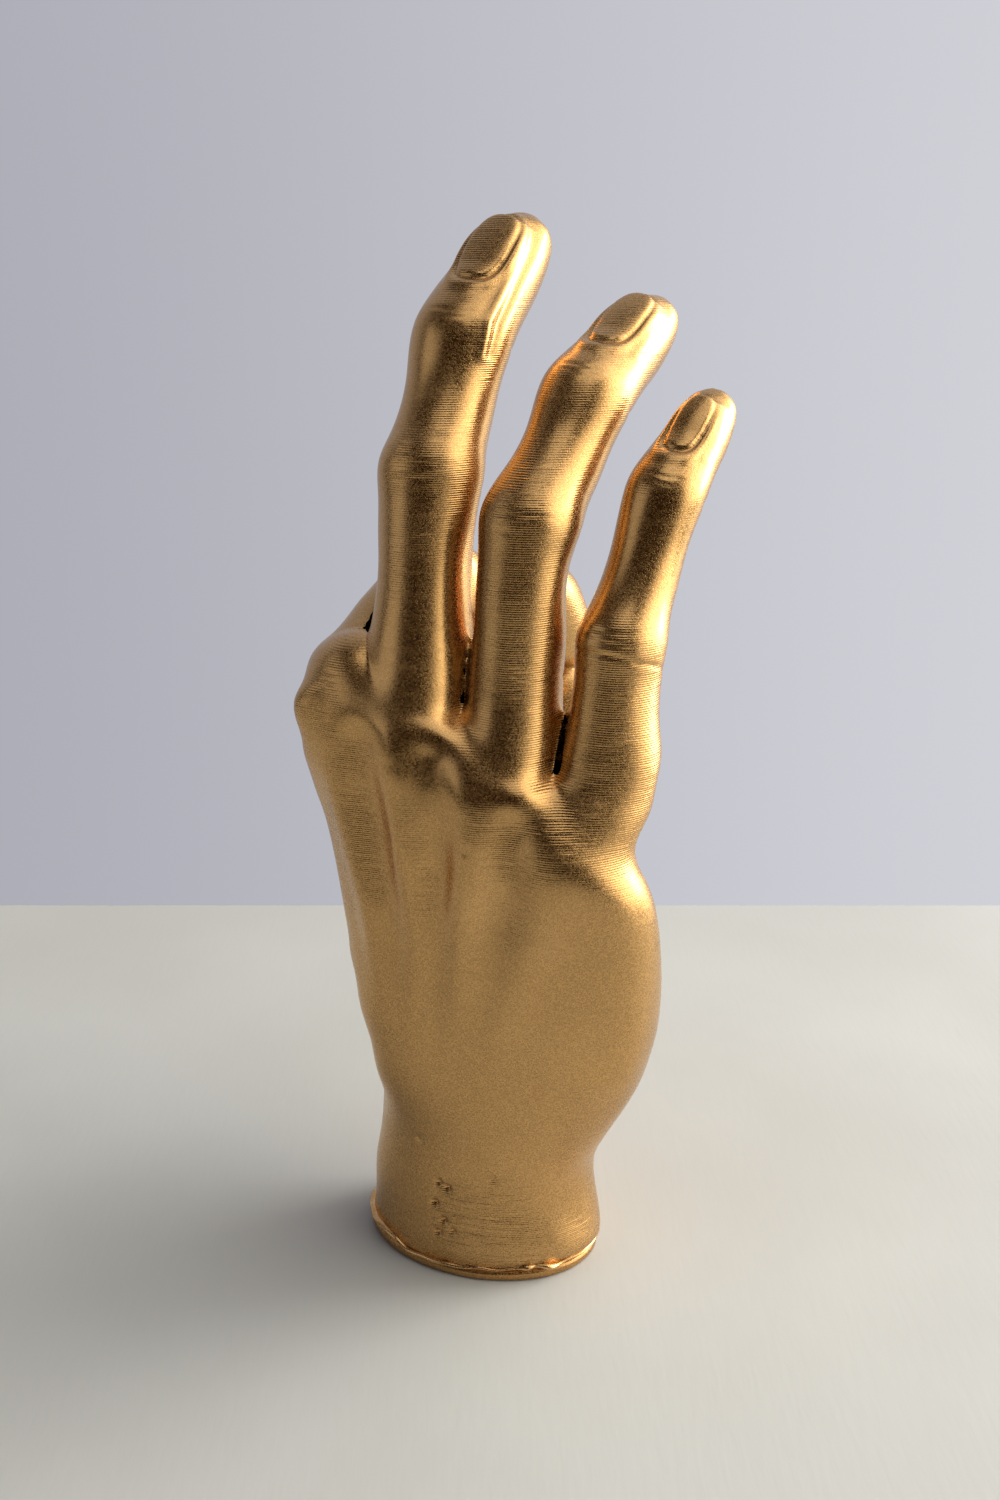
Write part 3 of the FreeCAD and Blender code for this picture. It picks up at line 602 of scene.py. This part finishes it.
def add_piece(name, mesh, node, material):
    """Piece of the scene that stands for a node and takes a material."""
    piece = bpy.data.objects.new(name, mesh)
    bpy.context.collection.objects.link(piece)
    mesh.materials.clear()
    mesh.materials.append(material)
    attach(piece, "root")
    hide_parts(node)
    return piece


# Materials

class Socket:
    """Output of a shader node that can be added, multiplied and so on."""

    def __init__(self, tree, output):
        self.tree = tree
        self.output = output

    def plug(self, socket, value):
        if isinstance(value, Socket):
            self.tree.links.new(value.output, socket)
        else:
            socket.default_value = value

    def math(self, operation, *values):
        node = self.tree.nodes.new("ShaderNodeMath")
        node.operation = operation
        for socket, value in zip(node.inputs, (self,) + values):
            self.plug(socket, value)
        return Socket(self.tree, node.outputs[0])

    def __add__(self, other):
        return self.math("ADD", other)

    def __sub__(self, other):
        return self.math("SUBTRACT", other)

    def __mul__(self, other):
        return self.math("MULTIPLY", other)

    def node(self, kind, output, inputs=None, **settings):
        """Any other node, fed by name or number, with this socket as a spare value."""
        made = self.tree.nodes.new(kind)
        for key, value in settings.items():
            setattr(made, key, value)
        for key, value in (inputs or {}).items():
            self.plug(made.inputs[key], value)
        return Socket(self.tree, made.outputs[output])

    def ramp(self, low, high):
        """Smooth step from 0 at low to 1 at high."""
        return self.node("ShaderNodeMapRange", 0, {0: self, 1: low, 2: high}, interpolation_type="SMOOTHSTEP")

    def mix(self, first, second):
        """Colour between two others, by this socket."""
        made = self.tree.nodes.new("ShaderNodeMix")
        made.data_type = "RGBA"
        self.plug(made.inputs[0], self)
        self.plug(made.inputs[6], first)
        self.plug(made.inputs[7], second)
        return Socket(self.tree, made.outputs[2])


def new_material(name):
    """Empty node material, its shader and a socket of object coordinates."""
    material = bpy.data.materials.new(name)
    material.use_nodes = True
    tree = material.node_tree
    tree.nodes.clear()
    result = tree.nodes.new("ShaderNodeOutputMaterial")
    shader = tree.nodes.new("ShaderNodeBsdfPrincipled")
    tree.links.new(shader.outputs[0], result.inputs[0])
    place = tree.nodes.new("ShaderNodeTexCoord")
    return material, shader, Socket(tree, place.outputs["Object"])


def noise(place, scale, detail=3.0, stretch=None):
    """Noise at a scale per metre, stretched along the axes if asked."""
    if stretch:
        place = place.node("ShaderNodeVectorMath", 0, {0: place, 1: stretch}, operation="MULTIPLY")
    return place.node("ShaderNodeTexNoise", 0, {"Vector": place, "Scale": scale, "Detail": detail})


def gold_paint(name, tone, rough, lines):
    """Satin gold paint: fine flake, brushed-on streaks, dull patches and level lines of the body."""
    material, shader, place = new_material(name)
    flake = place.node("ShaderNodeTexVoronoi", "Color", {"Vector": place, "Scale": 4200.0})
    flake = flake.node("ShaderNodeSeparateColor", 0, {0: flake})
    speck = noise(place, 2600, 2)
    cloud = noise(place, 38, 3)
    streak = noise(place, 60, 3, (0.6, 0.6, 9.0))
    deep, fair = [tuple(c * k for c in tone) + (1,) for k in (0.82, 1.12)]
    colour = (flake * 0.55 + cloud * 0.45).ramp(0.25, 0.78).mix(deep, fair)
    pale = (cloud * 0.6 + speck * 0.4).ramp(0.55, 0.72) * 0.12
    colour = pale.mix(colour, (0.86, 0.66, 0.42, 1))
    shader.inputs["Metallic"].default_value = 1.0
    place.plug(shader.inputs["Base Color"], colour)
    dull = cloud * 0.10 + flake * 0.12 + streak.ramp(0.5, 0.75) * 0.06 + (rough - 0.12)
    place.plug(shader.inputs["Roughness"], dull)
    height = place.node("ShaderNodeSeparateXYZ", 2, {0: place})
    wave = (height * (2 * math.pi / 0.00042)).math("SINE")
    where = noise(place, 30, 2, (1, 1, 0.7)).ramp(0.44, 0.62)
    grain = noise(place, 700, 3, (0.12, 0.12, 2.4)).ramp(0.45, 0.8)
    layers = (wave * 0.5 + grain * 1.2) * where * lines
    bump = place.node("ShaderNodeBump", 0, {
        "Height": layers + speck * 0.5 + flake * 0.35, "Strength": 0.55, "Distance": 0.00006})
    place.plug(shader.inputs["Normal"], bump)
    return material


def plaster():
    """Matt cast plaster with small pores."""
    material, shader, place = new_material("plaster")
    pores = noise(place, 900, 4).ramp(0.4, 0.7)
    place.plug(shader.inputs["Base Color"], pores.mix((0.62, 0.6, 0.55, 1), (0.8, 0.78, 0.73, 1)))
    place.plug(shader.inputs["Roughness"], pores * 0.1 + 0.8)
    place.plug(shader.inputs["Normal"], place.node("ShaderNodeBump", 0, {
        "Height": pores, "Strength": 0.4, "Distance": 0.0002}))
    return material


gold = gold_paint("gold_paint", (0.60, 0.352, 0.138), 0.27, 1.5)
foot_gold = gold_paint("foot_paint", (0.52, 0.29, 0.11), 0.31, 0.6)
bead_gold = gold_paint("bead_paint", (0.70, 0.42, 0.18), 0.24, 0.0)

for name, mesh in parted(skin):
    add_piece(name + "_skin", mesh, name, gold)


# Foot plate and bead, both turned from ovals with an uneven hand-finished edge

WRIST = (25.9, 18.3)
TWIST = math.radians(8)
AROUND = 360


def waver(angle, seed, size):
    """Smooth uneven value round the oval."""
    total = 0
    for step, share in ((2, 0.5), (3, 0.45), (5, 0.4), (9, 0.3), (14, 0.2), (23, 0.12)):
        total += share * math.sin(step * angle + seed * (step + 1.7))
    return total * size


def oval_point(angle, grow, level):
    """Point of the foot oval in metres, grown by a length."""
    x, y = (WRIST[0] + grow) * math.cos(angle), (WRIST[1] + grow) * math.sin(angle)
    return ((x * math.cos(TWIST) - y * math.sin(TWIST)) * MM,
            (x * math.sin(TWIST) + y * math.cos(TWIST)) * MM, level * MM)


def turned(name, profile_at, closed):
    """Mesh swept round the foot oval, with a profile that may change on the way."""
    data = bmesh.new()
    rows = []
    for step in range(AROUND):
        angle = 2 * math.pi * step / AROUND
        rows.append([data.verts.new(oval_point(angle, grow, level)) for grow, level in profile_at(angle)])
    for row, after in zip(rows, rows[1:] + rows[:1]):
        count = len(row)
        for k in range(count if closed else count - 1):
            data.faces.new((row[k], after[k], after[(k + 1) % count], row[(k + 1) % count]))
    if not closed:
        data.faces.new([row[0] for row in reversed(rows)])
        data.faces.new([row[-1] for row in rows])
    bmesh.ops.recalc_face_normals(data, faces=data.faces[:])
    mesh = bpy.data.meshes.new(name)
    data.to_mesh(mesh)
    data.free()
    mesh.polygons.foreach_set("use_smooth", [len(p.vertices) < 5 for p in mesh.polygons])
    return mesh


def plate_profile(angle):
    """Foot plate: flat underside, rounded lower edge and a slightly wavy wall."""
    out = waver(angle, 1.3, 0.10)
    points = [(-4, 0), (-1.0, 0)]
    for step in range(1, 7):
        turn = math.pi / 2 * step / 6
        points.append((-1.0 + math.sin(turn) + out * step / 6, 1 - math.cos(turn)))
    points += [(out + 0.05, 1.5), (out, 2.0), (out - 0.35, 2.35), (-1.0, 2.6), (-1.6, 3.0), (-6, 3.0)]
    return points


def bead_profile(angle):
    """Squeezed-out bead: uneven lip, a dark groove under it and one larger blob."""
    swell = 0.42 + waver(angle, 0.4, 0.34)
    blob = math.exp(-((math.degrees(angle) - 318) / 5.0) ** 2) + 0.6 * math.exp(
        -((math.degrees(angle) - 306) / 3.0) ** 2)
    level = 3.25 + waver(angle, 2.1, 0.75)
    out = max(0.2, swell) + 1.1 * blob
    tall = 0.46 + waver(angle, 3.3, 0.14) + 0.55 * blob
    points = []
    for step in range(14):
        turn = 2 * math.pi * step / 14
        points.append((-0.5 + (out + 0.5) * max(-0.4, math.cos(turn)), level + tall * math.sin(turn)))
    return points


add_piece("foot_plate_painted", turned("foot_plate_painted", plate_profile, False),
          "foot_plate", foot_gold)
add_piece("seam_bead_painted", turned("seam_bead_painted", bead_profile, True),
          "seam_bead", bead_gold)
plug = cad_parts["ballast_plug"]
plaster_finish = plaster()
for place in plug.material_slots:
    place.material = plaster_finish
if not plug.material_slots:
    plug.data.materials.append(plaster_finish)


# Floor, light and camera

HEADING = math.radians(27.224)
EYE = (0.12541, -0.23548, 0.19969)


def ahead(distance, aside, level):
    """Place at a distance in front of the camera and to its right, at a level."""
    return (EYE[0] - math.sin(HEADING) * distance + math.cos(HEADING) * aside,
            EYE[1] + math.cos(HEADING) * distance + math.sin(HEADING) * aside, level)


def floor_material():
    """Whitewashed wood, pale and plain."""
    material, shader, place = new_material("floor")
    turned_place = place.node("ShaderNodeMapping", 0, {"Vector": place, "Rotation": (0, 0, -HEADING)})
    grain = noise(turned_place, 160, 5, (4.0, 0.7, 1.0))
    cloud = noise(turned_place, 9, 3)
    worn = (grain * 0.12 + cloud * 0.88).ramp(0.3, 0.75)
    colour = worn.mix((0.49, 0.497, 0.49, 1), (0.545, 0.558, 0.555, 1))
    place.plug(shader.inputs["Base Color"], colour)
    place.plug(shader.inputs["Roughness"], grain * 0.2 + 0.55)
    place.plug(shader.inputs["Normal"], place.node("ShaderNodeBump", 0, {
        "Height": grain, "Strength": 0.12, "Distance": 0.0003}))
    return material


floor_mesh = bpy.data.meshes.new("floor")
corners = [ahead(-2, -2, 0), ahead(-2, 2, 0), ahead(0.44, 2, 0), ahead(0.44, -2, 0)]
floor_mesh.from_pydata(corners, [], [(0, 1, 2, 3)])
floor = bpy.data.objects.new("floor", floor_mesh)
bpy.context.collection.objects.link(floor)
floor_mesh.materials.append(floor_material())

world = bpy.data.worlds.new("room")
bpy.context.scene.world = world
world.use_nodes = True
tree = world.node_tree
tree.nodes.clear()
sky = tree.nodes.new("ShaderNodeBackground")
tree.links.new(sky.outputs[0], tree.nodes.new("ShaderNodeOutputWorld").inputs[0])
look = Socket(tree, tree.nodes.new("ShaderNodeTexCoord").outputs["Generated"])


def towards(way, low, high):
    """Share of a part of the room that lies in a direction."""
    share = look.node("ShaderNodeVectorMath", 1, {0: look, 1: way}, operation="DOT_PRODUCT")
    return share.ramp(low, high)


# Pale wall behind the object with painted window light, graded brighter to the right, a window on the right
# and a dark room elsewhere
wall = towards((-math.sin(HEADING), math.cos(HEADING), 0.0), 0.05, 0.6)
window = towards((math.cos(HEADING) * 0.93 - 0.1, math.sin(HEADING) * 0.93, 0.30), 0.42, 0.95)
# Painted light on the wall: its colour grades from dim on the left to bright on the right, standing in for
# the window's light falling on it
right = towards((math.cos(HEADING), math.sin(HEADING), 0.0), -0.5, 0.55)
backdrop_painted_light = right.mix((0.40, 0.405, 0.455, 1), (0.66, 0.66, 0.71, 1))
room = wall.mix((0.030, 0.016, 0.008, 1), backdrop_painted_light)
room = window.mix(room, (3.8, 3.6, 3.1, 1))
ray = tree.nodes.new("ShaderNodeLightPath")
seen = Socket(tree, ray.outputs["Is Camera Ray"])
# Camera rays see the wall with this painted light, brighter to the right
look.plug(sky.inputs[0], seen.mix(room, backdrop_painted_light))


def add_light(name, kind, place, aim, power, size, colour):
    """Soft area light aimed at a point."""
    data = bpy.data.lights.new(name, kind)
    data.energy = power
    data.shape = "RECTANGLE"
    data.size, data.size_y = size
    data.color = colour
    lamp = bpy.data.objects.new(name, data)
    bpy.context.collection.objects.link(lamp)
    lamp.location = place
    way = np.array(aim) - np.array(place)
    lamp.rotation_mode = "QUATERNION"
    lamp.rotation_quaternion = Vector(way.tolist()).to_track_quat("-Z", "Y")
    return lamp


aim = (0, 0, 0.11)
add_light("window", "AREA", ahead(0.42, 0.62, 0.34), aim, 3.8, (0.34, 0.44), (1.0, 0.98, 0.94))
add_light("fill", "AREA", ahead(0.10, -0.75, 0.45), aim, 0.5, (0.5, 0.5), (0.95, 0.97, 1.0))
add_light("top", "AREA", ahead(0.15, 0.1, 0.85), aim, 1.2, (0.7, 0.5), (1.0, 0.99, 0.97))

eye = bpy.data.cameras.new("camera")
eye.lens = 33.6
eye.sensor_width = 36
eye.clip_start, eye.clip_end = 0.01, 20
camera = bpy.data.objects.new("camera", eye)
bpy.context.collection.objects.link(camera)
camera.location = EYE
camera.rotation_euler = (math.radians(90 - 18.078), 0, HEADING)
bpy.context.scene.camera = camera
bpy.context.scene.view_settings.view_transform = "Standard"
